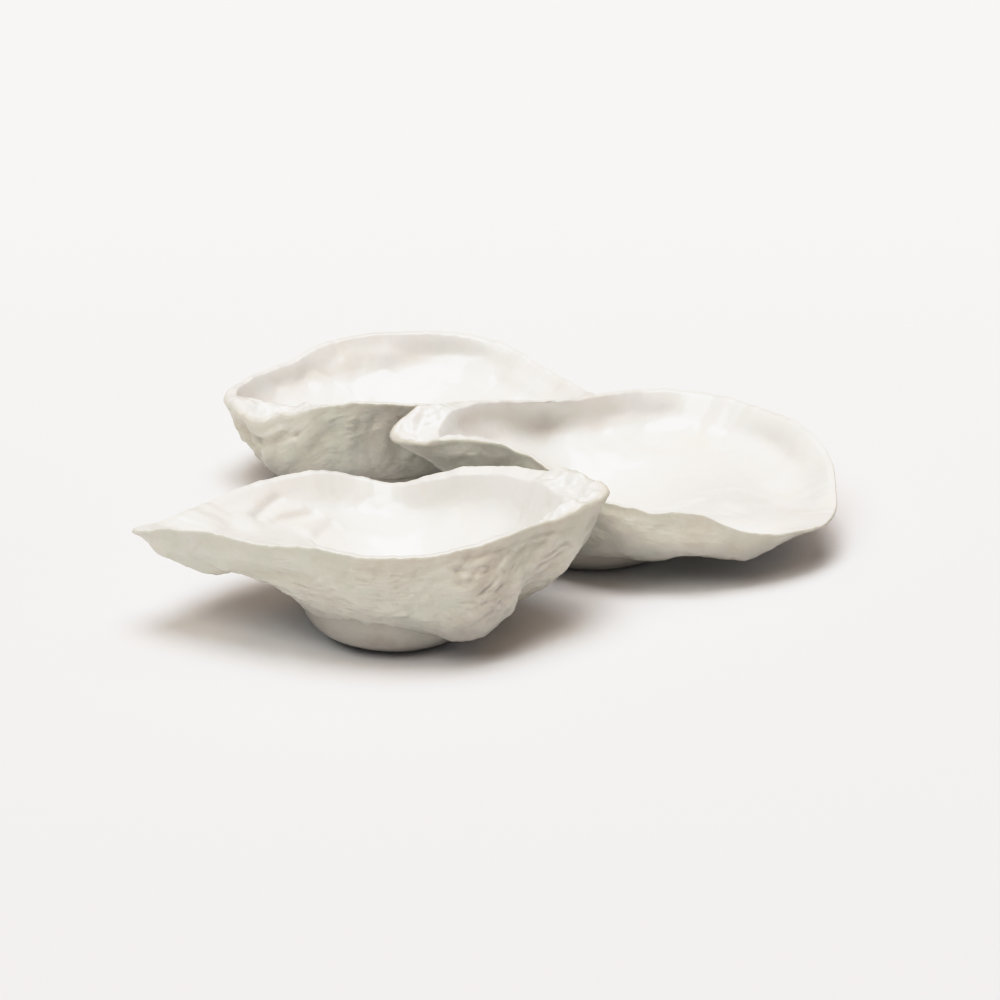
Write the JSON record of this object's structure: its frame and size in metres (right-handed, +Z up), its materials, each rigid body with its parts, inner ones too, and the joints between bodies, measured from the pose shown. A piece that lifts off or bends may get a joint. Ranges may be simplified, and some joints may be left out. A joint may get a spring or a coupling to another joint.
{
  "type": "set of porcelain oyster-shell dishes",
  "caption": "Footed white porcelain dishes in the form of oyster shells, nested close together to hold small food or trinkets.",
  "frame": {"origin": "centre of the set's bounding box on the table plane", "axes": "+X to the viewer's right, along the longest extent; +Y away from the viewer; +Z up, the shortest extent"},
  "size_m": [0.235, 0.2224, 0.0472],
  "materials": {
    "front_shell_glaze": "satin glaze, warm white",
    "front_foot_glaze": "satin glaze, warm white, bare at the contact ring",
    "right_shell_glaze": "satin glaze, warm white",
    "right_foot_glaze": "satin glaze, warm white, bare at the contact ring",
    "back_shell_glaze": "satin glaze, warm white",
    "back_foot_glaze": "satin glaze, warm white, bare at the contact ring"
  },
  "bodies": {
    "right_dish": {"right_shell": "right_shell_glaze", "right_foot": "right_foot_glaze"},
    "front_dish": {"front_shell": "front_shell_glaze", "front_foot": "front_foot_glaze"},
    "back_dish": {"back_shell": "back_shell_glaze", "back_foot": "back_foot_glaze"}
  },
  "joints": [
    {"name": "front_lift", "type": "slide", "parent": "right_dish", "child": "front_dish", "axis": [0, 0, 1], "range_m": [0, 0.12]},
    {"name": "back_lift", "type": "slide", "parent": "right_dish", "child": "back_dish", "axis": [0, 0, 1], "range_m": [0, 0.12]}
  ]
}
